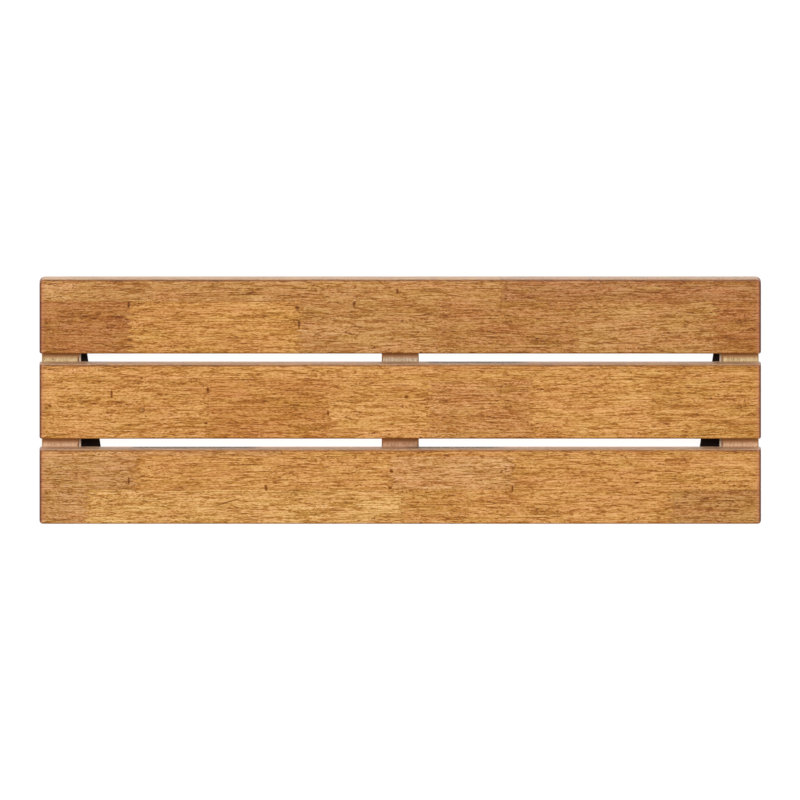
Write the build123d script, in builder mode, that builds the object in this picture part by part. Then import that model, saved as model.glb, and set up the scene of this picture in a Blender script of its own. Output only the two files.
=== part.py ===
from build123d import *
import os

# Slatted wooden duckboard bath mat, in millimetres.
# Three wide slats lie across three battens, with drain gaps between the slats.
# Each end batten stands on a black steel foot rail with a rubber grip strip
# under it, and the centre batten stands on three rubber pads.
# +X runs along the slats, +Y towards the back slat, +Z up.
# The origin is under the middle of the deck, at the level of the floor.

# Deck
slat_length = 720.0
slat_width = 76.0
slat_thickness = 16.0
slat_gap = 10.5
slat_corner_radius = 2.0
deck_front_corner_radius = 3.5
deck_back_corner_radius = 5.5
slat_top_round = 1.8
slat_bottom_round = 0.8

# Battens
batten_width = 37.0
batten_thickness = 18.0
batten_end_margin = 12.0
batten_side_inset = 2.4
batten_round = 1.2

# Foot rails: a tapered base plate with a rib welded up along it
plate_thickness = 2.5
plate_end_margin = 14.0
plate_outer_inset = 9.0
plate_corner_radius = 4.0
plate_edge_at_middle = 306.3
plate_taper = 0.1427
rib_thickness = 2.0
rib_height = 17.5
rib_end_margin = 26.0
rib_corner_radius = 5.0

# Rubber
grip_thickness = 4.0
grip_margin = 1.0
groove_width = 2.0
groove_depth = 0.8
groove_pitch = 9.0
groove_length = 152.0
peg_radius = 3.0
peg_spacing = 68.0
pad_radius = 13.0
pad_taper = 9.0
pad_round = 0.6
pad_recess = 3.6
pad_recess_play = 0.4
pad_spacing = 86.5

# Screws
slat_screw_length = 29.0
slat_screw_radius = 2.0
slat_screw_head_radius = 4.0
slat_screw_spread_x = 18.0
slat_screw_spread_y = 30.0
slat_hole_spare = 1.0
rail_screw_length = 16.0
rail_screw_radius = 1.75
rail_screw_head_radius = 3.6
rail_screw_head_height = 2.2
rail_screw_head_round = 1.32
rail_screw_pitch = 82.0
pad_hole_depth = 17.0
washer_radius = 5.5
washer_thickness = 1.0
plain_shank_share = 0.35
screw_tip_length = 4.0
thread_pitch = 1.5
thread_depth = 0.45
screw_clearance = 0.1
recess_width = 1.0
recess_depth = 1.2

# Derived sizes and levels
slat_pitch = slat_width + slat_gap
deck_width = 3 * slat_width + 2 * slat_gap
half_length = slat_length / 2
plate_bottom = grip_thickness
batten_bottom = plate_bottom + plate_thickness
slat_bottom = batten_bottom + batten_thickness
batten_length = deck_width - 2 * batten_end_margin
end_batten_x = half_length - batten_side_inset - batten_width / 2
batten_inner_x = end_batten_x - batten_width / 2
plate_length = deck_width - 2 * plate_end_margin
plate_outer_x = half_length - plate_outer_inset
rib_length = deck_width - 2 * rib_end_margin
rib_x = batten_inner_x - rib_thickness / 2
rail_screw_z = batten_bottom + rib_height / 2
pad_height = batten_bottom

slat_rows = {"back": slat_pitch, "middle": 0.0, "front": -slat_pitch}
slat_front_radii = {"front": deck_front_corner_radius}
slat_back_radii = {"back": deck_back_corner_radius}
batten_columns = {"left": -end_batten_x, "centre": 0.0, "right": end_batten_x}
end_sides = {"left": -1, "right": 1}


def plate_inner_x(y):
    """Distance from the middle of the mat to the plate's slanted edge."""
    return plate_edge_at_middle + plate_taper * y


def slat_screw_pair(column_x, row_y):
    """The two screws where a slat crosses a batten, set on a diagonal."""
    step_x = slat_screw_spread_x / 2
    step_y = slat_screw_spread_y / 2
    return [(column_x + corner * step_x, row_y + corner * step_y) for corner in (-1, 1)]


def screw_profile(length, radius):
    """Half section of a wood screw's threaded shank, from its head at z = 0."""
    points = [(0, 0), (radius, 0)]
    shank = length * plain_shank_share
    points.append((radius, shank))
    turns = int((length - shank - screw_tip_length) / thread_pitch)
    for turn in range(turns):
        start = shank + turn * thread_pitch
        points.append((radius - thread_depth, start + thread_pitch / 2))
        points.append((radius, start + thread_pitch))
    points.append((0, length))
    points.append((0, 0))
    return points


os.makedirs("parts", exist_ok=True)

# Rows along Y of the rail screws, the pads and the pegs
rail_screw_rows = [-rail_screw_pitch, 0.0, rail_screw_pitch]
pad_rows = [-pad_spacing, 0.0, pad_spacing]
peg_rows = [step * peg_spacing for step in (-1.5, -0.5, 0.5, 1.5)]

# Deck slats: rounded boards with blind screw holes in the underside. The
# corners that are also corners of the deck are rounder than the rest.
# Each slat crosses three battens and takes two screws at each, set diagonally.
slat_hole_spots = []
for column_x in batten_columns.values():
    slat_hole_spots += slat_screw_pair(column_x, 0.0)

slat_hole_depth = slat_screw_length - batten_thickness + slat_hole_spare
for row, row_y in slat_rows.items():
    with BuildPart() as slat:
        with BuildSketch(Plane.XY.offset(slat_bottom)) as outline:
            with Locations((0, row_y)):
                Rectangle(slat_length, slat_width)
            front_radius = slat_front_radii.get(row, slat_corner_radius)
            back_radius = slat_back_radii.get(row, slat_corner_radius)
            fillet(outline.vertices().group_by(Axis.Y)[0], front_radius)
            fillet(outline.vertices().group_by(Axis.Y)[-1], back_radius)
        extrude(amount=slat_thickness)
        fillet(slat.faces().sort_by(Axis.Z)[-1].edges(), slat_top_round)
        fillet(slat.faces().sort_by(Axis.Z)[0].edges(), slat_bottom_round)
        with BuildSketch(Plane.XY.offset(slat_bottom)):
            with Locations(*[(x, row_y + y) for x, y in slat_hole_spots]):
                Circle(slat_screw_radius + screw_clearance)
        extrude(amount=slat_hole_depth, mode=Mode.SUBTRACT)
    slat.part.label = f"slat_{row}"
    export_step(slat.part, f"parts/slat_{row}.step")

# Battens: six countersunk slat screws each. The end battens also have side
# holes for the rail screws, and the centre batten has holes for the pads.
for column, column_x in batten_columns.items():
    with BuildPart() as batten:
        with BuildSketch(Plane.XY.offset(batten_bottom)):
            with Locations((column_x, 0)):
                Rectangle(batten_width, batten_length)
        extrude(amount=batten_thickness)
        fillet(batten.edges().filter_by(Axis.Y), batten_round)
        fillet(batten.edges().filter_by(Axis.Z), batten_round)
        for row_y in slat_rows.values():
            for hole_x, hole_y in slat_screw_pair(column_x, row_y):
                hole_plane = Plane((hole_x, hole_y, batten_bottom), z_dir=(0, 0, -1))
                with Locations(hole_plane):
                    CounterSinkHole(
                        slat_screw_radius + screw_clearance,
                        slat_screw_head_radius + screw_clearance,
                        batten_thickness,
                    )
        if column == "centre":
            with BuildSketch(Plane.XY.offset(batten_bottom)):
                with Locations(*[(0, y) for y in pad_rows]):
                    Circle(rail_screw_radius + screw_clearance)
            extrude(amount=pad_hole_depth, mode=Mode.SUBTRACT)
        else:
            side = end_sides[column]
            inner_face = Plane(
                (side * batten_inner_x, 0, rail_screw_z),
                x_dir=(0, 1, 0),
                z_dir=(side, 0, 0),
            )
            with BuildSketch(inner_face):
                with Locations(*[(y, 0) for y in rail_screw_rows]):
                    Circle(rail_screw_radius + screw_clearance)
            extrude(amount=rail_screw_length, mode=Mode.SUBTRACT)
    batten.part.label = f"batten_{column}"
    export_step(batten.part, f"parts/batten_{column}.step")

# Foot rails: the base plate lies under the end batten and reaches further
# inwards towards the front; the rib stands against the batten's inner face.
for side_name, side in end_sides.items():
    half_plate = plate_length / 2
    with BuildPart() as rail:
        with BuildSketch(Plane.XY.offset(plate_bottom)) as base:
            with BuildLine():
                Polyline(
                    (side * plate_outer_x, -half_plate),
                    (side * plate_inner_x(-half_plate), -half_plate),
                    (side * plate_inner_x(half_plate), half_plate),
                    (side * plate_outer_x, half_plate),
                    close=True,
                )
            make_face()
            fillet(base.vertices(), plate_corner_radius)
        extrude(amount=plate_thickness)
        rib_plane = Plane(
            (side * rib_x, 0, batten_bottom),
            x_dir=(0, 1, 0),
            z_dir=(1, 0, 0),
        )
        with BuildSketch(rib_plane) as rib:
            with Locations((0, (rib_height - plate_thickness) / 2)):
                Rectangle(rib_length, rib_height + plate_thickness)
            fillet(rib.vertices().group_by(Axis.Z)[-1], rib_corner_radius)
        extrude(amount=rib_thickness / 2, both=True)
        with BuildSketch(Plane.XY.offset(plate_bottom)):
            with Locations(*[(side * end_batten_x, y) for y in peg_rows]):
                Circle(peg_radius)
        extrude(amount=plate_thickness, mode=Mode.SUBTRACT)
        hole_plane = rib_plane.offset(-rib_thickness)
        with BuildSketch(hole_plane):
            with Locations(*[(y, rail_screw_z - batten_bottom) for y in rail_screw_rows]):
                Circle(rail_screw_radius + screw_clearance)
        extrude(amount=2 * rib_thickness, mode=Mode.SUBTRACT)
    rail.part.label = f"foot_rail_{side_name}"
    export_step(rail.part, f"parts/foot_rail_{side_name}.step")

# Grip strips: rubber under the base plates, with cross grooves below and
# pegs above that push through the plate up to the batten.
for side_name, side in end_sides.items():
    half_grip = plate_length / 2 - grip_margin
    groove_count = 2 * int((plate_length / groove_pitch - 1) / 2)
    with BuildPart() as grip:
        with BuildSketch() as outline:
            with BuildLine():
                Polyline(
                    (side * (plate_outer_x - grip_margin), -half_grip),
                    (side * (plate_inner_x(-half_grip) + grip_margin), -half_grip),
                    (side * (plate_inner_x(half_grip) + grip_margin), half_grip),
                    (side * (plate_outer_x - grip_margin), half_grip),
                    close=True,
                )
            make_face()
            fillet(outline.vertices(), plate_corner_radius - grip_margin)
        extrude(amount=grip_thickness)
        with BuildSketch():
            with Locations((side * end_batten_x, 0)):
                with GridLocations(0, groove_pitch, 1, groove_count):
                    Rectangle(groove_length, groove_width)
        extrude(amount=groove_depth, mode=Mode.SUBTRACT)
        with BuildSketch(Plane.XY.offset(grip_thickness)):
            with Locations(*[(side * end_batten_x, y) for y in peg_rows]):
                Circle(peg_radius)
        extrude(amount=plate_thickness)
    grip.part.label = f"grip_strip_{side_name}"
    export_step(grip.part, f"parts/grip_strip_{side_name}.step")

# Centre pads: round rubber feet with a recess below for the screw's head
for row, pad_y in zip(("front", "middle", "back"), pad_rows):
    with BuildPart() as pad:
        with BuildSketch(Plane.XY):
            with Locations((0, pad_y)):
                Circle(pad_radius)
        extrude(amount=pad_height, taper=pad_taper)
        fillet(pad.edges().group_by(Axis.Z)[0], pad_round)
        with BuildSketch(Plane.XY):
            with Locations((0, pad_y)):
                Circle(washer_radius + pad_recess_play)
        extrude(amount=pad_recess, mode=Mode.SUBTRACT)
        with BuildSketch(Plane.XY):
            with Locations((0, pad_y)):
                Circle(rail_screw_radius + screw_clearance)
        extrude(amount=pad_height, mode=Mode.SUBTRACT)
    pad.part.label = f"centre_pad_{row}"
    export_step(pad.part, f"parts/centre_pad_{row}.step")

# One slat screw: countersunk head with a cross recess, ringed shank, point up
with BuildPart() as slat_screw:
    head_height = slat_screw_head_radius - slat_screw_radius
    with BuildSketch(Plane.XZ):
        with BuildLine():
            Polyline(screw_profile(slat_screw_length, slat_screw_radius))
        make_face()
    revolve(axis=Axis.Z)
    with BuildSketch(Plane.XZ):
        with BuildLine():
            Polyline(
                (0, 0),
                (slat_screw_head_radius, 0),
                (slat_screw_radius, head_height),
                (0, head_height),
                close=True,
            )
        make_face()
    revolve(axis=Axis.Z)
    with BuildSketch(Plane.XY):
        Rectangle(slat_screw_head_radius, recess_width)
        Rectangle(recess_width, slat_screw_head_radius)
    extrude(amount=recess_depth, mode=Mode.SUBTRACT)

# One pan-head screw, used for the rails and the pads, head below z = 0
with BuildPart() as pan_screw:
    with BuildSketch(Plane.XZ):
        with BuildLine():
            Polyline(screw_profile(rail_screw_length, rail_screw_radius))
        make_face()
    revolve(axis=Axis.Z)
    with BuildSketch(Plane.XY):
        Circle(rail_screw_head_radius)
    extrude(amount=-rail_screw_head_height)
    fillet(pan_screw.edges().group_by(Axis.Z)[0], rail_screw_head_round)
    with BuildSketch(Plane.XY.offset(-rail_screw_head_height)):
        Rectangle(rail_screw_head_radius, recess_width)
        Rectangle(recess_width, rail_screw_head_radius)
    extrude(amount=recess_depth, mode=Mode.SUBTRACT)

# Slat screws, six under each batten
for column, column_x in batten_columns.items():
    spots = []
    for row_y in slat_rows.values():
        spots += [(x, y, batten_bottom) for x, y in slat_screw_pair(column_x, row_y)]
    with BuildPart() as slat_screws:
        with Locations(*spots):
            add(slat_screw.part)
    slat_screws.part.label = f"slat_screws_{column}"
    export_step(slat_screws.part, f"parts/slat_screws_{column}.step")

# Rail screws, three through each rib into the side of the end batten
for side_name, side in end_sides.items():
    head_x = side * (batten_inner_x - rib_thickness)
    with BuildPart() as rail_screws:
        for screw_y in rail_screw_rows:
            with Locations(Plane((head_x, screw_y, rail_screw_z), z_dir=(side, 0, 0))):
                add(pan_screw.part)
    rail_screws.part.label = f"rail_screws_{side_name}"
    export_step(rail_screws.part, f"parts/rail_screws_{side_name}.step")

# Pad screws and their washers, one of each in every centre pad
pad_seat = pad_recess - washer_thickness
with BuildPart() as pad_washers:
    with BuildSketch(Plane.XY.offset(pad_seat)):
        with Locations(*[(0, y) for y in pad_rows]):
            Circle(washer_radius)
            Circle(rail_screw_radius + screw_clearance, mode=Mode.SUBTRACT)
    extrude(amount=washer_thickness)
pad_washers.part.label = "pad_washers"
export_step(pad_washers.part, "parts/pad_washers.step")

with BuildPart() as pad_screws:
    with Locations(*[(0, y, pad_seat) for y in pad_rows]):
        add(pan_screw.part)
pad_screws.part.label = "pad_screws"
export_step(pad_screws.part, "parts/pad_screws.step")
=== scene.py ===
import math

import bpy
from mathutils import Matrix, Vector, noise


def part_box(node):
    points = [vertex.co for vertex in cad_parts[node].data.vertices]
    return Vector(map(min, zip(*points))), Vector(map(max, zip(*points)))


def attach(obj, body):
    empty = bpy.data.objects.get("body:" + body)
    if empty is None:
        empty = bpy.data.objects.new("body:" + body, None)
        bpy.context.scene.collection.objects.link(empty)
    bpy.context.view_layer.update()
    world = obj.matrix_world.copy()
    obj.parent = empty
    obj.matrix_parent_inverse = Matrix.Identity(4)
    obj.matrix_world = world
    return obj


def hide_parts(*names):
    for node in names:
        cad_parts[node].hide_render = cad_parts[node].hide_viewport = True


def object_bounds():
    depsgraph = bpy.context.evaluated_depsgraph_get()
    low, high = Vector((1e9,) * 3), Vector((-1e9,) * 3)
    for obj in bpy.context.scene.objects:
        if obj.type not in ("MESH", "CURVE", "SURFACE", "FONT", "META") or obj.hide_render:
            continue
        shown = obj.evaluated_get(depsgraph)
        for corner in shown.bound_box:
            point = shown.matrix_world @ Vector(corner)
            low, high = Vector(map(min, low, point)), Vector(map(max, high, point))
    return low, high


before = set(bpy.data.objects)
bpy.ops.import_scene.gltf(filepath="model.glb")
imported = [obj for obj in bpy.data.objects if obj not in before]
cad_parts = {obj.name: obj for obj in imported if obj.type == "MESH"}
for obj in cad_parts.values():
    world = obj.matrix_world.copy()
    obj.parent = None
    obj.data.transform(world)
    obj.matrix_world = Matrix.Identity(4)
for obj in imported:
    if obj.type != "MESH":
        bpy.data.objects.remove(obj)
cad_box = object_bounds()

# A slatted wooden bath mat seen from nearly straight above.
# The slats are rebuilt here as finely divided boards with a brushed surface.
# The battens, foot rails, rubber and screws are the CAD nodes with new materials.
# Lengths named *_mm are millimetres; shaders work in millimetres too.

MM = 0.001

# Camera: square on to the deck, leaning a little towards the back slat
CAMERA_TILT = math.radians(10.9)
CAMERA_DISTANCE = 3.0
CAMERA_WIDTH_MM = 798.3
CAMERA_AIM_MM = (-0.25, 1.7)

# Finger joints between the strips that each slat is glued up from
TOOTH_PITCH_MM = 6.6
TOOTH_LENGTH_MM = 8.0
TOOTH_RAGGEDNESS_MM = 9.0

# Steps of the grain's seed from one block or strip to the next
BLOCK_SEED = 7.3
STRIP_SEED = 31.7

# White light that the oiled surface mirrors towards the camera
GLOSS_VEIL = 0.027

# Tones of the strips, as display colours from 0 to 255
TONES = {
    "amber": (204, 143, 76),
    "brown": (185, 126, 70),
    "copper": (198, 136, 76),
    "gold": (210, 148, 81),
    "honey": (217, 160, 91),
    "red": (180, 117, 64),
    "rose": (179, 120, 70),
    "rust": (197, 132, 68),
    "sand": (200, 143, 85),
    "straw": (209, 150, 90),
    "tan": (192, 135, 77),
}

# The wood's hue drifts towards one or the other of these tones, by at most this share
ROSY_TONE = (208, 132, 84)
GREEN_TONE = (193, 146, 66)
HUE_DRIFT = 0.6

# Each slat's strips from front to back: where the strip starts across the slat,
# then the blocks along it, each with the place of its left joint and its tone.
STRIPS = {
    "slat_back": [
        (-38, [(-360, "red"), (-270, "amber"), (-100, "tan"), (37, "brown"), (174, "tan"), (315, "red")]),
        (15, [(-360, "sand"), (-322, "tan"), (102, "rose")]),
    ],
    "slat_middle": [
        (-38, [(-360, "gold"), (-192, "rust"), (-72, "gold"), (30, "copper"), (130, "gold"), (250, "amber")]),
        (22, [(-360, "gold"), (-214, "gold"), (40, "amber")]),
    ],
    "slat_front": [
        (-38, [(-360, "sand"), (-313, "honey"), (2, "amber"), (65, "gold"), (271, "tan")]),
        (-3, [(-360, "sand"), (-264, "gold"), (-9, "straw"), (112, "gold")]),
        (31, [(-360, "straw"), (-120, "gold"), (150, "gold")]),
    ],
}

# Small dark marks on each slat: place, half length, half width, and turn in degrees
MARKS = {
    "slat_back": [
        (-271, 12, 1.3, 3.2, 0), (-103, 9, 2.4, 1.8, 0), (-101, -8, 1.2, 4.2, 0),
        (-46, 13, 1.5, 2.6, 0), (-3, 26, 1.5, 2.4, 0), (-150, 24, 4.5, 0.9, 4),
    ],
    "slat_middle": [
        (-288, 8, 1.1, 4.2, 0), (-258, 24, 1.6, 1.1, 0), (-194, -22, 1.8, 1.2, 0),
        (6, 5, 2.2, 1.8, 0), (-192, 12, 1.2, 3.2, 0), (-72, -12, 1.1, 3.0, 0),
        (-350, -4, 2.6, 1.0, -20),
    ],
    "slat_front": [
        (-172, -15.5, 13.5, 0.75, 17), (-134, -1, 1.5, 3.4, 10), (-271, 6, 1.1, 3.6, 0),
        (-9, 16, 1.6, 2.0, 0), (-10, -1, 1.8, 1.3, 0), (305, -12, 3.2, 1.0, 0),
        (236, 4, 2.8, 1.1, 0), (112, -2, 1.1, 3.4, 0),
    ],
}

# Painted shade in rough-sawn-looking patches on the slats' back faces: middle and half length along X.
# Each fades out over a length at both ends.
SAWN_SHADE_FADE_MM = 20
SAWN_SHADE_PATCHES = {
    "slat_back": [],
    "slat_middle": [(74, 58)],
    "slat_front": [(-205, 72), (55, 55)],
}


def linear(channel):
    """A display value from 0 to 255 as a linear value."""
    value = channel / 255
    return value / 12.92 if value <= 0.04045 else ((value + 0.055) / 1.055) ** 2.4


def linear_colour(display, veil=0.0):
    """Opaque base colour that shows as the display colour under a gloss that adds veil."""
    return (*(max(linear(channel) - veil, 0.001) for channel in display), 1.0)


class Shader:
    """A material's node tree, with short calls for the nodes used here."""

    def __init__(self, name):
        self.material = bpy.data.materials.new(name)
        self.material.use_nodes = True
        self.tree = self.material.node_tree
        self.principled = self.tree.nodes["Principled BSDF"]

    def node(self, kind, **settings):
        made = self.tree.nodes.new(kind)
        for setting, value in settings.items():
            setattr(made, setting, value)
        return made

    def feed(self, socket, value):
        if isinstance(value, bpy.types.NodeSocket):
            self.tree.links.new(value, socket)
        else:
            socket.default_value = value

    def math(self, operation, *values):
        made = self.node("ShaderNodeMath", operation=operation)
        for socket, value in zip(made.inputs, values):
            self.feed(socket, value)
        return made.outputs[0]

    def add(self, a, b):
        return self.math("ADD", a, b)

    def times(self, a, b):
        return self.math("MULTIPLY", a, b)

    def rest(self, value):
        """What value leaves of 1."""
        return self.math("SUBTRACT", 1.0, value)

    def darken(self, shade, mask, amount):
        """shade made darker by amount where mask is 1."""
        return self.times(shade, self.rest(self.times(mask, amount)))

    def step_up(self, value, low, high):
        """0 below low, 1 above high, smooth between."""
        made = self.node("ShaderNodeMapRange", interpolation_type="SMOOTHSTEP", clamp=True)
        self.feed(made.inputs["Value"], value)
        made.inputs["From Min"].default_value = low
        made.inputs["From Max"].default_value = high
        return made.outputs["Result"]

    def near(self, value, half_width):
        """1 where value is 0, falling to 0 at half_width either side."""
        away = self.math("ABSOLUTE", value)
        return self.rest(self.step_up(away, half_width * 0.4, half_width))

    def combine(self, x, y, z):
        made = self.node("ShaderNodeCombineXYZ")
        for socket, value in zip(made.inputs, (x, y, z)):
            self.feed(socket, value)
        return made.outputs[0]

    def stretch(self, values, sizes):
        """The place with these three values, each measured in units of its size."""
        return self.combine(*(self.times(value, 1 / size) for value, size in zip(values, sizes)))

    def noise(self, place, detail=2.0, roughness=0.5):
        made = self.node("ShaderNodeTexNoise")
        self.feed(made.inputs["Vector"], place)
        made.inputs["Scale"].default_value = 1.0
        made.inputs["Detail"].default_value = detail
        made.inputs["Roughness"].default_value = roughness
        return made.outputs["Fac"]

    def mix(self, factor, a, b, blend="MIX"):
        made = self.node("ShaderNodeMix", data_type="RGBA", blend_type=blend)
        self.feed(made.inputs["Factor"], factor)
        colour_a, colour_b = [socket for socket in made.inputs if socket.type == "RGBA"]
        self.feed(colour_a, a)
        self.feed(colour_b, b)
        return next(socket for socket in made.outputs if socket.type == "RGBA")

    def coordinates(self):
        """x, y and z in millimetres in the row frame."""
        texture = self.node("ShaderNodeTexCoord")
        split = self.node("ShaderNodeSeparateXYZ")
        self.tree.links.new(texture.outputs["Object"], split.inputs[0])
        return [self.times(split.outputs[axis], 1 / MM) for axis in range(3)]

    def bump(self, height, distance_mm, strength):
        made = self.node("ShaderNodeBump")
        made.inputs["Strength"].default_value = strength
        made.inputs["Distance"].default_value = distance_mm * MM
        self.feed(made.inputs["Height"], height)
        self.feed(self.principled.inputs["Normal"], made.outputs[0])

    def tint(self, colour, shade, green_power=1.43, blue_power=2.5):
        """colour made lighter or darker by shade; darker is redder, lighter is paler."""
        powers = (1.0, green_power, blue_power)
        factors = [self.math("POWER", shade, power) for power in powers]
        tinted = self.mix(1.0, colour, self.combine(*factors), "MULTIPLY")
        above = self.math("MAXIMUM", self.add(shade, -1.0), 0.0)
        paler = self.combine(0.0, self.times(above, 0.08), self.times(above, 0.11))
        return self.mix(1.0, tinted, paler, "ADD")


# Wood


def grain(shader, along, across, depth, seed, strength=1.0):
    """Shade of wood fibres that run along one axis, about 1 on average.

    Returns the shade and the raw fibre height for bump."""
    bend_place = shader.combine(
        shader.times(along, 1 / 85),
        shader.times(across, 1 / 22),
        shader.add(shader.times(depth, 1 / 22), seed),
    )
    bend = shader.times(shader.add(shader.noise(bend_place, 2.0), -0.5), 6.0)
    ripple_place = shader.combine(
        shader.times(along, 1 / 14),
        shader.times(across, 1 / 5),
        shader.add(shader.times(depth, 1 / 5), seed),
    )
    ripple = shader.times(shader.add(shader.noise(ripple_place, 1.0), -0.5), 1.0)
    wavy = shader.add(shader.add(across, bend), ripple)

    def layer(length, width, detail, roughness, shift):
        """Noise about 0, stretched to a length and width in millimetres."""
        place = shader.combine(
            shader.add(shader.times(along, 1 / length), shift),
            shader.add(shader.times(wavy, 1 / width), seed),
            shader.add(shader.times(depth, 1 / width), shift),
        )
        return shader.add(shader.noise(place, detail, roughness), -0.5)

    bands = layer(150, 7.0, 2.0, 0.5, 3.0)
    lines = layer(62, 1.1, 1.0, 0.5, 11.0)
    fibres = layer(14, 0.8, 2.0, 0.6, 23.0)
    flecks = layer(2.4, 0.95, 1.0, 0.5, 29.0)
    pores = layer(5.5, 0.85, 1.0, 0.5, 37.0)
    clusters = layer(26, 9.0, 1.0, 0.5, 51.0)

    total = shader.times(bands, 0.4 * strength)
    for part, amount in ((lines, 1.25), (fibres, 1.2), (flecks, 1.5)):
        total = shader.add(total, shader.times(part, amount * strength))
    bright = shader.times(shader.math("MAXIMUM", total, 0.0), 0.42)
    shade = shader.add(shader.add(total, 1.17), shader.times(bright, -1.0))
    pore_level = shader.add(pores, shader.times(clusters, 0.2))
    pore_mask = shader.step_up(pore_level, 0.13, 0.2)
    shade = shader.darken(shade, pore_mask, 0.5 * strength)
    shade = shader.math("MAXIMUM", shade, 0.2)
    vein_place = shader.combine(
        shader.times(along, 1 / 30),
        shader.add(shader.times(wavy, 1 / 2.6), seed),
        shader.times(depth, 1 / 2.6),
    )
    vein = shader.near(shader.add(shader.noise(vein_place, 1.0, 0.5), -0.5), 0.05)
    shade = shader.darken(shade, vein, 0.38 * strength)
    height = shader.math("SUBTRACT", shader.add(lines, fibres), shader.times(pore_mask, 0.6))
    return shade, height


def tone_map(shader, x, across, strips):
    """Tone, grain seed and glue-line mask of a board glued up from strips."""
    saw = shader.math("PINGPONG", shader.add(across, 100.0), TOOTH_PITCH_MM / 2)
    teeth = shader.times(saw, 2 * TOOTH_LENGTH_MM / TOOTH_PITCH_MM)
    teeth_x = shader.math("SUBTRACT", shader.add(x, TOOTH_LENGTH_MM / 2), teeth)
    ragged_place = shader.combine(shader.times(x, 1 / 6), shader.times(across, 1 / 1.2), 1.5)
    ragged = shader.times(shader.add(shader.noise(ragged_place, 1.0), -0.5), TOOTH_RAGGEDNESS_MM)
    teeth_x = shader.add(teeth_x, ragged)
    tone = None
    seed = None
    glue = None
    for strip_number, (start, blocks) in enumerate(strips):
        strip_tone = None
        strip_seed = STRIP_SEED * strip_number
        strip_glue = 0.0
        for left, name in blocks:
            colour = linear_colour(TONES[name], GLOSS_VEIL)
            if strip_tone is None:
                strip_tone = colour
                continue
            beyond = shader.add(teeth_x, -float(left))
            here = shader.step_up(beyond, -1.4, 1.4)
            strip_tone = shader.mix(here, strip_tone, colour)
            strip_seed = shader.add(strip_seed, shader.times(here, BLOCK_SEED))
            strip_glue = shader.add(strip_glue, shader.near(beyond, 1.1))
        if tone is None:
            tone, seed, glue = strip_tone, strip_seed, strip_glue
            continue
        past = shader.add(across, -float(start))
        here = shader.step_up(past, -0.2, 0.2)
        tone = shader.mix(here, tone, strip_tone)
        seed = shader.add(shader.times(seed, shader.rest(here)), shader.times(strip_seed, here))
        glue = shader.add(shader.times(glue, shader.rest(here)), shader.times(strip_glue, here))
        glue = shader.add(glue, shader.times(shader.near(past, 0.7), 0.55))
    return tone, seed, glue


def mark_mask(shader, x, across, marks):
    """1 on each of a board's small dark marks."""
    total = 0.0
    for place_x, place_y, half_length, half_width, turn in marks:
        dx = shader.add(x, -float(place_x))
        dy = shader.add(across, -float(place_y))
        cosine = math.cos(math.radians(turn))
        sine = math.sin(math.radians(turn))
        along = shader.add(shader.times(dx, cosine), shader.times(dy, sine))
        off = shader.add(shader.times(dy, cosine), shader.times(dx, -sine))
        reach = shader.add(
            shader.math("POWER", shader.math("ABSOLUTE", shader.times(along, 1 / half_length)), 2.0),
            shader.math("POWER", shader.math("ABSOLUTE", shader.times(off, 1 / half_width)), 2.0),
        )
        total = shader.add(total, shader.rest(shader.step_up(reach, 0.3, 1.6)))
    return shader.math("MINIMUM", total, 1.0)


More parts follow.
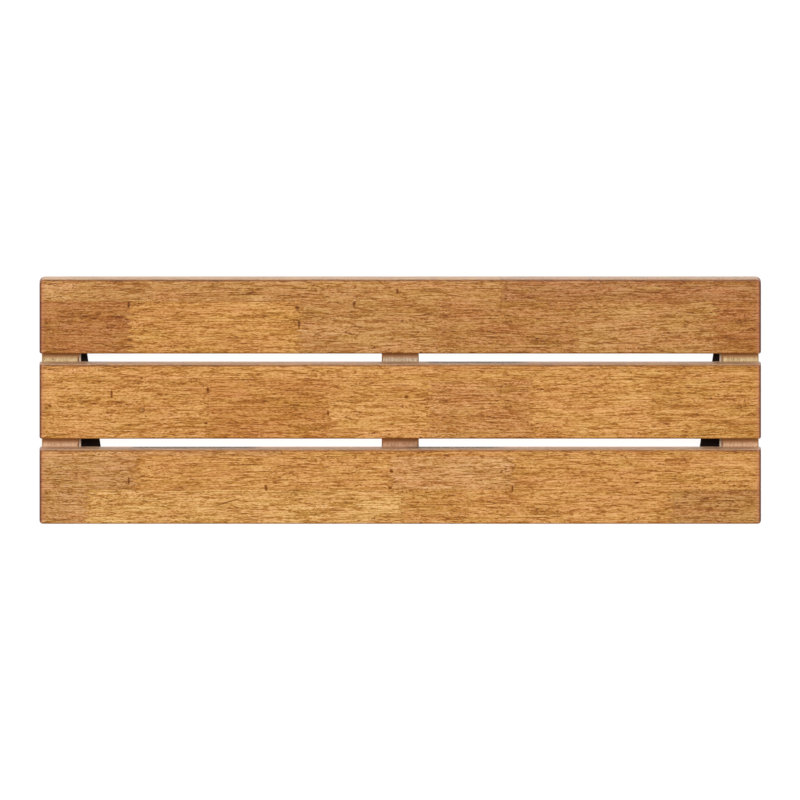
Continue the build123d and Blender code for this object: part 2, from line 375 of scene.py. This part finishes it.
def slat_material(node):
    """Oiled, glued-up hardwood with its grain along X."""
    shader = Shader(f"{node}_wood")
    low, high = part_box(node)
    x, y, z = shader.coordinates()
    across = shader.add(y, -(low.y + high.y) / 2 / MM)
    tone, seed, glue = tone_map(shader, x, across, STRIPS[node])
    shade, height = grain(shader, x, across, z, seed)

    # Specks gather in patches
    speck_place = shader.combine(shader.times(x, 1 / 2.0), shader.times(across, 1 / 1.1), z)
    specks = shader.step_up(shader.noise(speck_place, 1.0), 0.62, 0.7)
    patch_place = shader.combine(
        shader.times(x, 1 / 38),
        shader.times(across, 1 / 13),
        shader.add(z, 5.0),
    )
    patches = shader.step_up(shader.noise(patch_place, 1.0), 0.5, 0.66)
    shade = shader.darken(shade, shader.times(specks, patches), 0.72)

    # Glue lines are thin and broken
    broken_place = shader.combine(shader.times(x, 1 / 3), shader.times(across, 1 / 2), z)
    broken = shader.step_up(shader.noise(broken_place, 1.0), 0.35, 0.6)
    shade = shader.darken(shade, shader.times(glue, broken), 0.3)
    shade = shader.darken(shade, mark_mask(shader, x, across, MARKS[node]), 0.62)

    # Slow drift of tone over the board
    drift_place = shader.combine(
        shader.times(x, 1 / 70),
        shader.times(across, 1 / 16),
        shader.add(seed, 3.0),
    )
    drift = shader.add(shader.times(shader.add(shader.noise(drift_place, 1.0), -0.5), 0.12), 1.0)
    shade = shader.times(shade, drift)
    hue_place = shader.combine(
        shader.times(x, 1 / 42),
        shader.times(across, 1 / 9),
        shader.add(seed, 9.0),
    )
    hue = shader.times(shader.add(shader.noise(hue_place, 2.0), -0.5), 2.0)
    rosy = shader.math("MINIMUM", shader.math("MAXIMUM", hue, 0.0), 1.0)
    green = shader.math("MINIMUM", shader.math("MAXIMUM", shader.times(hue, -1.0), 0.0), 1.0)
    tone = shader.mix(shader.times(rosy, HUE_DRIFT), tone, linear_colour(ROSY_TONE, GLOSS_VEIL))
    tone = shader.mix(shader.times(green, HUE_DRIFT), tone, linear_colour(GREEN_TONE, GLOSS_VEIL))

    # The rounded ends soak up more oil and are darker; the front edge carries painted shade, and a thin dark
    # line runs along the back arris
    half_length = (high.x - low.x) / 2 / MM
    half_width = (high.y - low.y) / 2 / MM
    end = shader.step_up(shader.math("ABSOLUTE", x), half_length - 3.0, half_length - 0.6)
    front = shader.step_up(shader.times(across, -1.0), half_width - 1.9, half_width - 0.7)
    arris = shader.near(shader.add(across, 1.5 - half_width), 1.1)
    edge = shader.math("MAXIMUM", shader.times(end, 0.7), shader.times(front, 0.4))
    edge = shader.math("MAXIMUM", edge, shader.times(arris, 0.5))
    shade = shader.times(shade, shader.rest(edge))

    # The ends turn purple, after a pink band
    colour = shader.tint(tone, shade)
    purple = linear_colour((120, 84, 78))
    colour = shader.mix(shader.times(end, 0.35), colour, purple)
    blush = shader.step_up(shader.math("ABSOLUTE", x), half_length - 6.0, half_length - 3.0)
    blush = shader.times(blush, shader.rest(end))
    pink = linear_colour((204, 132, 102))
    colour = shader.mix(shader.times(blush, 0.35), colour, pink)

    # The back face is painted paler, a painted highlight from the light behind the deck
    back = shader.step_up(across, half_width - 1.0, half_width - 0.35)
    back_highlight = linear_colour((206, 186, 166))
    colour = shader.mix(shader.times(back, 0.45), colour, back_highlight)

    # Painted shade on the lower part of the back face, facing the narrow gap, broken into rough-sawn-looking
    # patches
    middle_z = (low.z + high.z) / 2 / MM
    lower = shader.rest(shader.step_up(z, middle_z - 1.0, middle_z + 5.0))
    rough_place = shader.combine(shader.times(x, 1 / 2.2), shader.times(z, 1 / 2.4), across)
    rough = shader.step_up(shader.noise(rough_place, 2.0, 0.6), 0.32, 0.5)
    sawn_shade = 0.0
    for middle, half_reach in SAWN_SHADE_PATCHES[node]:
        away = shader.math("ABSOLUTE", shader.add(x, -float(middle)))
        sawn_shade = shader.add(sawn_shade, shader.rest(shader.step_up(away, half_reach - SAWN_SHADE_FADE_MM, half_reach)))
    sawn_shade = shader.times(shader.times(sawn_shade, rough), shader.times(back, 0.96))
    sawn_shade = shader.times(sawn_shade, lower)
    # The colour of the painted shade on the back face
    gap_shade_tone = linear_colour((62, 52, 34))
    colour = shader.mix(sawn_shade, colour, gap_shade_tone)
    shader.feed(shader.principled.inputs["Base Color"], colour)
    roughness = shader.add(shader.times(height, -0.12), 0.4)
    shader.feed(shader.principled.inputs["Roughness"], roughness)
    shader.principled.inputs["Specular IOR Level"].default_value = 0.26
    shader.bump(height, 0.12, 0.55)
    return shader.material


def batten_material(name, node, tone_back, tone_front):
    """Paler sanded hardwood with its grain along Y, from one tone to another."""
    shader = Shader(name)
    low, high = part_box(node)
    middle_x = abs(low.x + high.x) / 2 / MM
    half_width = (high.x - low.x) / 2 / MM
    top = high.z / MM
    x, y, z = shader.coordinates()
    shade, height = grain(shader, y, x, z, 4.7, 0.5)
    front_share = shader.step_up(shader.times(y, -1.0), -45.0, 45.0)
    back_colour = linear_colour(tone_back)
    front_colour = linear_colour(tone_front)
    tone = shader.mix(front_share, back_colour, front_colour)
    speck_place = shader.combine(shader.times(x, 1 / 1.2), shader.times(y, 1 / 2.2), z)
    specks = shader.step_up(shader.noise(speck_place, 1.0), 0.6, 0.7)
    shade = shader.darken(shade, specks, 0.4)

    # Painted shadow of the slats: a warm, darker band on the top beside their front edges
    darker_share = 0.0
    for slat in ("slat_back", "slat_middle"):
        below = shader.add(shader.times(y, -1.0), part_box(slat)[0].y / MM)
        reach = shader.rest(shader.step_up(below, 4.0, 8.4))
        darker_share = shader.add(darker_share, shader.times(reach, shader.step_up(below, -1.0, 0.0)))
    near_top = shader.step_up(z, top - 2.0, top - 1.0)
    darker_share = shader.times(darker_share, near_top)

    # Painted shade: the long top edges are darker, and darker still along the side where a foot rail stands
    # against the batten
    off = shader.add(shader.math("ABSOLUTE", x), -middle_x)
    edge = shader.step_up(shader.math("ABSOLUTE", off), half_width - 1.6, half_width - 0.7)
    rail_corner_shade = shader.times(shader.step_up(shader.times(off, -1.0), half_width - 1.5, half_width - 1.0), 0.7)
    on_rail = middle_x > 1.0
    edge = shader.times(edge, 0.3 if on_rail else 0.6)
    edge = shader.math("MAXIMUM", edge, rail_corner_shade if on_rail else 0.0)
    shade = shader.darken(shade, edge, near_top)
    colour = shader.tint(tone, shade, 1.3, 1.7)
    # The tone of the painted slat shadow
    slat_shadow_tone = linear_colour((218, 150, 86))
    colour = shader.mix(shader.times(darker_share, 0.9), colour, slat_shadow_tone)
    shader.feed(shader.principled.inputs["Base Color"], colour)
    shader.feed(shader.principled.inputs["Roughness"], shader.add(shader.times(height, -0.1), 0.58))
    shader.bump(height, 0.12, 0.5)
    return shader.material


def rail_material():
    """Satin black powder coat with orange peel, and a painted highlight along the rib's top."""
    shader = Shader("black_powder_coat")
    x, y, z = shader.coordinates()
    place = shader.stretch((x, y, z), (1.3, 1.3, 1.3))
    peel = shader.noise(place, 2.0, 0.5)
    rib_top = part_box("foot_rail_left")[1].z / MM
    # Painted highlight where the rib's top edge catches the light
    rib_top_highlight = shader.step_up(shader.add(z, shader.times(peel, 0.5)), rib_top - 0.35, rib_top + 0.05)
    black = linear_colour((20, 5, 2))
    highlight_tone = linear_colour((206, 184, 160))
    colour = shader.mix(rib_top_highlight, black, highlight_tone)
    shader.feed(shader.principled.inputs["Base Color"], colour)
    shader.feed(shader.principled.inputs["Roughness"], shader.add(shader.times(peel, 0.2), 0.42))
    shader.principled.inputs["Specular IOR Level"].default_value = 0.2
    shader.bump(peel, 0.05, 0.5)
    return shader.material


def rubber_material():
    """Matt black rubber with a fine mould grain and a little dust."""
    shader = Shader("black_rubber")
    x, y, z = shader.coordinates()
    place = shader.stretch((x, y, z), (0.5, 0.5, 0.5))
    mould = shader.noise(place, 2.0, 0.6)
    dust_place = shader.stretch((x, y, z), (17, 17, 9))
    dust = shader.step_up(shader.noise(dust_place, 3.0, 0.6), 0.45, 0.75)
    clean = linear_colour((30, 29, 29))
    dusty = linear_colour((58, 55, 52))
    shader.feed(shader.principled.inputs["Base Color"], shader.mix(dust, clean, dusty))
    shader.feed(shader.principled.inputs["Roughness"], shader.add(shader.times(mould, 0.2), 0.68))
    shader.bump(mould, 0.08, 0.7)
    return shader.material


def steel_material():
    """Stainless screw steel, turned and a little stained."""
    shader = Shader("screw_steel")
    x, y, z = shader.coordinates()
    fine_place = shader.stretch((x, y, z), (0.3, 0.3, 2.5))
    fine = shader.noise(fine_place, 2.0, 0.5)
    stain_place = shader.stretch((x, y, z), (2.2, 2.2, 2.2))
    darker_share = shader.step_up(shader.noise(stain_place, 2.0, 0.5), 0.45, 0.7)
    bright = linear_colour((196, 195, 191))
    dull = linear_colour((150, 145, 136))
    shader.feed(shader.principled.inputs["Base Color"], shader.mix(darker_share, bright, dull))
    shader.principled.inputs["Metallic"].default_value = 1.0
    shader.feed(shader.principled.inputs["Roughness"], shader.add(shader.times(fine, 0.25), 0.22))
    shader.bump(fine, 0.02, 0.5)
    return shader.material


# Slats

TOP_ROUND = 1.8 * MM
BOTTOM_ROUND = 0.8 * MM
PLAN_ROUND = 2.0 * MM
# Rounder where a slat's corner is also a corner of the deck
FRONT_ROUND = {"slat_front": 3.5 * MM}
BACK_ROUND = {"slat_back": 5.5 * MM}
ARC_STEPS = 5
BACK_STEPS = 4
FRONT_STEPS = 4
BOTTOM_STEPS = 12
X_STEP = 1.6 * MM
Y_STEP = 1.3 * MM
# Distances from a board's end of the first sections, close together where it rounds off
END_STATIONS_MM = (0.0, 0.1, 0.25, 0.5, 0.8, 1.2, 1.7, 2.3, 3.0, 3.8, 4.6, 5.5)
# Each glue line is a shallow groove with sloping sides
GROOVE_DEPTH = 0.07 * MM
GROOVE_HALF_WIDTH_MM = 0.9
SIDE_WANDER = 0.06 * MM
# Blind screw holes in the underside, and how far each is from its batten's middle
HOLE_RADIUS = 2.1 * MM
HOLE_DEPTH = 12.0 * MM
HOLE_SIDES = 24
SCREW_STEP = Vector((9.0, 15.0)) * MM


def arc_inset(distance, radius):
    """How far a rounded edge has drawn in, at a distance from the board's end."""
    if distance >= radius:
        return 0.0
    return radius - math.sqrt(radius * radius - (radius - distance) ** 2)


def board_ring(front, back, bottom, top, top_steps):
    """Points (y, z) around a board's section, counter-clockwise from the bottom."""
    points = []
    corners = [
        (back - BOTTOM_ROUND, bottom + BOTTOM_ROUND, BOTTOM_ROUND, -90),
        (back - TOP_ROUND, top - TOP_ROUND, TOP_ROUND, 0),
        (front + TOP_ROUND, top - TOP_ROUND, TOP_ROUND, 90),
        (front + BOTTOM_ROUND, bottom + BOTTOM_ROUND, BOTTOM_ROUND, 180),
    ]
    side_steps = (BACK_STEPS, top_steps, FRONT_STEPS, BOTTOM_STEPS)
    for corner, (y, z, radius, start) in enumerate(corners):
        for step in range(ARC_STEPS + 1):
            angle = math.radians(start + 90 * step / ARC_STEPS)
            points.append((y + radius * math.cos(angle), z + radius * math.sin(angle)))
        next_y, next_z, next_radius, next_start = corners[(corner + 1) % 4]
        angle = math.radians(next_start)
        target = (next_y + next_radius * math.cos(angle), next_z + next_radius * math.sin(angle))
        last = points[-1]
        for step in range(1, side_steps[corner]):
            share = step / side_steps[corner]
            points.append(tuple(near + (far - near) * share for near, far in zip(last, target)))
    return points


def surface_relief(x, y, strips, seed):
    """How far the brushed top lies below the board's flat top."""
    wave = noise.noise(Vector((x * 16, y * 55, seed)))
    bend = 0.0015 * noise.noise(Vector((x * 11, y * 40, seed + 9)))
    ridge = noise.noise(Vector((x * 35, (y + bend) * 620, seed + 4)))
    depth = 0.03 * MM * (1 + wave) + 0.035 * MM * (1 + ridge)
    for start, _ in strips[1:]:
        away = abs(y / MM - start)
        if away < GROOVE_HALF_WIDTH_MM:
            depth += GROOVE_DEPTH * (1 - away / GROOVE_HALF_WIDTH_MM)
    return depth


def hole_cutter(low, high):
    """Closed rods where the slat screws enter a board from below.

    There are two screws over each batten, set on a diagonal."""
    vertices = []
    faces = []
    middle_y = (low.y + high.y) / 2
    for batten in ("batten_left", "batten_centre", "batten_right"):
        batten_low, batten_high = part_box(batten)
        middle_x = (batten_low.x + batten_high.x) / 2
        for corner in (-1, 1):
            start = len(vertices)
            for z in (low.z - MM, low.z + HOLE_DEPTH):
                for side in range(HOLE_SIDES):
                    angle = 2 * math.pi * side / HOLE_SIDES
                    x = middle_x + corner * SCREW_STEP.x + HOLE_RADIUS * math.cos(angle)
                    y = middle_y + corner * SCREW_STEP.y + HOLE_RADIUS * math.sin(angle)
                    vertices.append((x, y, z))
            faces.append(tuple(start + side for side in reversed(range(HOLE_SIDES))))
            faces.append(tuple(start + HOLE_SIDES + side for side in range(HOLE_SIDES)))
            for side in range(HOLE_SIDES):
                here = start + side
                after = start + (side + 1) % HOLE_SIDES
                faces.append((here, after, after + HOLE_SIDES, here + HOLE_SIDES))
    mesh = bpy.data.meshes.new("hole_cutter")
    mesh.from_pydata(vertices, [], faces)
    cutter = bpy.data.objects.new("hole_cutter", mesh)
    bpy.context.scene.collection.objects.link(cutter)
    return cutter


def drill(board, low, high):
    """Cuts the blind screw holes into a board's underside."""
    cutter = hole_cutter(low, high)
    cut = board.modifiers.new("screw_holes", "BOOLEAN")
    cut.operation = "DIFFERENCE"
    cut.solver = "EXACT"
    cut.object = cutter
    graph = bpy.context.evaluated_depsgraph_get()
    drilled = bpy.data.meshes.new_from_object(board.evaluated_get(graph))
    solid = board.data
    board.modifiers.clear()
    board.data = drilled
    bpy.data.meshes.remove(solid)
    bpy.data.meshes.remove(cutter.data)


def build_slat(node, seed):
    """A finely divided board in the place of one CAD slat."""
    low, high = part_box(node)
    middle = (low + high) / 2
    half_width = (high.y - low.y) / 2
    half_length = (high.x - low.x) / 2
    top_steps = round(2 * half_width / Y_STEP)
    ends = [station * MM for station in END_STATIONS_MM]
    count = round((2 * half_length - 2 * ends[-1]) / X_STEP)
    inner = [ends[-1] + (2 * half_length - 2 * ends[-1]) * i / count for i in range(1, count)]
    stations = ends + inner + [2 * half_length - end for end in reversed(ends)]
    vertices = []
    ring_size = 0
    for station in stations:
        from_end = min(station, 2 * half_length - station)
        x = station - half_length
        front = arc_inset(from_end, FRONT_ROUND.get(node, PLAN_ROUND)) - half_width
        back = half_width - arc_inset(from_end, BACK_ROUND.get(node, PLAN_ROUND))
        top = high.z - arc_inset(from_end, TOP_ROUND)
        bottom = low.z + arc_inset(from_end, BOTTOM_ROUND)
        ring = board_ring(front, back, bottom, top, top_steps)
        ring_size = len(ring)
        for y, z in ring:
            # Upper faces are brushed; the long sides wander by a hair
            if z > top - TOP_ROUND * 0.5:
                z -= surface_relief(x, y, STRIPS[node], seed)
            side = max(0.0, 1 - (half_width - abs(y)) / TOP_ROUND)
            wander = SIDE_WANDER * (1 + noise.noise(Vector((x * 45, seed, math.copysign(3, y)))))
            y -= math.copysign(wander * side, y)
            vertices.append((x + middle.x, y + middle.y, z))
    faces = [tuple(reversed(range(ring_size)))]
    for row in range(len(stations) - 1):
        start = row * ring_size
        for column in range(ring_size):
            here = start + column
            after = start + (column + 1) % ring_size
            faces.append((here, after, after + ring_size, here + ring_size))
    last = (len(stations) - 1) * ring_size
    faces.append(tuple(range(last, last + ring_size)))
    mesh = bpy.data.meshes.new(f"{node}_board")
    mesh.from_pydata(vertices, [], faces)
    mesh.polygons.foreach_set("use_smooth", [True] * len(mesh.polygons))
    mesh.update()
    board = bpy.data.objects.new(f"{node}_board", mesh)
    bpy.context.scene.collection.objects.link(board)
    drill(board, low, high)
    board.data.name = f"{node}_board"
    board.data.materials.clear()
    board.data.materials.append(slat_material(node))
    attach(board, "root")
    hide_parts(node)


def dress(node, material):
    """Gives a CAD node a new material on all its slots."""
    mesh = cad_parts[node].data
    if not mesh.materials:
        mesh.materials.append(material)
    for slot_number in range(len(mesh.materials)):
        mesh.materials[slot_number] = material


for slat_number, slat_name in enumerate(("slat_back", "slat_middle", "slat_front")):
    build_slat(slat_name, 10.0 * (slat_number + 1))

# Both end battens share one wood; it takes its edges from the right one, and works on both sides
end_batten_wood = batten_material(
    "batten_end_wood", "batten_right", tone_back=(205, 177, 127), tone_front=(214, 170, 128)
)
centre_batten_wood = batten_material(
    "batten_centre_wood", "batten_centre", tone_back=(195, 170, 138), tone_front=(191, 143, 104)
)
black_coat = rail_material()
rubber = rubber_material()
steel = steel_material()

dress("batten_centre", centre_batten_wood)
for end_name in ("left", "right"):
    dress(f"batten_{end_name}", end_batten_wood)
    dress(f"foot_rail_{end_name}", black_coat)
    dress(f"grip_strip_{end_name}", rubber)
    dress(f"rail_screws_{end_name}", steel)
for pad_name in ("front", "middle", "back"):
    dress(f"centre_pad_{pad_name}", rubber)
for column_name in ("left", "centre", "right"):
    dress(f"slat_screws_{column_name}", steel)
dress("pad_screws", steel)
dress("pad_washers", steel)


# Floor, light and camera

FLOOR_HALF_WIDTH = 6.0
FLOOR_GLOW = 0.93
# Kept a hair below the feet, so that the two faces don't flicker
FLOOR_GAP = 0.5 * MM
KEY_LEAN_DEGREES = 23
KEY_DISTANCE = 3.0
KEY_SIZE = 0.8
KEY_BRIGHTNESS = 0.68
FILL_BRIGHTNESS = 0.36


def build_floor():
    """A pale floor that glows a little, like a light table."""
    half = FLOOR_HALF_WIDTH
    mesh = bpy.data.meshes.new("floor")
    corners = [(-half, -half, 0), (half, -half, 0), (half, half, 0), (-half, half, 0)]
    mesh.from_pydata(corners, [], [(0, 1, 2, 3)])
    floor = bpy.data.objects.new("floor", mesh)
    bpy.context.scene.collection.objects.link(floor)
    shader = Shader("floor_white")
    shader.principled.inputs["Base Color"].default_value = (0.25, 0.25, 0.25, 1)
    shader.principled.inputs["Roughness"].default_value = 0.9
    shader.principled.inputs["Specular IOR Level"].default_value = 0.0
    shader.principled.inputs["Emission Color"].default_value = (1, 1, 1, 1)
    shader.principled.inputs["Emission Strength"].default_value = FLOOR_GLOW
    # From underneath the floor is clear, so that the mat's feet can be seen
    side = shader.node("ShaderNodeNewGeometry")
    clear = shader.node("ShaderNodeBsdfTransparent")
    choice = shader.node("ShaderNodeMixShader")
    output = shader.tree.nodes["Material Output"]
    shader.feed(choice.inputs[0], side.outputs["Backfacing"])
    shader.feed(choice.inputs[1], shader.principled.outputs[0])
    shader.feed(choice.inputs[2], clear.outputs[0])
    shader.feed(output.inputs["Surface"], choice.outputs[0])
    floor.data.materials.append(shader.material)
    floor.location.z = cad_box[0][2] - FLOOR_GAP


def build_light(name, tilt_degrees, distance, size, brightness):
    """A square soft box over the deck, leaning towards the back by tilt_degrees.

    brightness is the radiance that a white deck would have from it alone."""
    data = bpy.data.lights.new(name, "AREA")
    data.shape = "SQUARE"
    data.size = size
    data.energy = brightness * math.pi ** 2 * distance ** 2
    lamp = bpy.data.objects.new(name, data)
    tilt = math.radians(tilt_degrees)
    lamp.location = (0, math.sin(tilt) * distance, math.cos(tilt) * distance)
    lamp.rotation_euler = (-tilt, 0, 0)
    bpy.context.scene.collection.objects.link(lamp)


def build_world(fill):
    """White behind the object, and an even grey light from all around."""
    world = bpy.data.worlds.new("studio")
    bpy.context.scene.world = world
    world.use_nodes = True
    tree = world.node_tree
    background = tree.nodes["Background"]
    rays = tree.nodes.new("ShaderNodeLightPath")
    strength = tree.nodes.new("ShaderNodeMapRange")
    strength.inputs["To Min"].default_value = fill
    strength.inputs["To Max"].default_value = 1.0
    tree.links.new(rays.outputs["Is Camera Ray"], strength.inputs["Value"])
    background.inputs["Color"].default_value = (1, 1, 1, 1)
    tree.links.new(strength.outputs["Result"], background.inputs["Strength"])


def build_camera():
    """A level view with no perspective, leaning towards the back slat."""
    data = bpy.data.cameras.new("camera")
    data.type = "ORTHO"
    data.ortho_scale = CAMERA_WIDTH_MM * MM
    camera = bpy.data.objects.new("camera", data)
    aim = Vector((CAMERA_AIM_MM[0] * MM, CAMERA_AIM_MM[1] * MM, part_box("slat_middle")[1].z))
    away = Vector((0, math.sin(CAMERA_TILT), math.cos(CAMERA_TILT)))
    camera.location = aim + away * CAMERA_DISTANCE
    camera.rotation_euler = (-CAMERA_TILT, 0, 0)
    bpy.context.scene.collection.objects.link(camera)
    bpy.context.scene.camera = camera


build_floor()
build_light("key", KEY_LEAN_DEGREES, KEY_DISTANCE, KEY_SIZE, KEY_BRIGHTNESS)
build_world(FILL_BRIGHTNESS)
build_camera()
bpy.context.scene.view_settings.view_transform = "Standard"
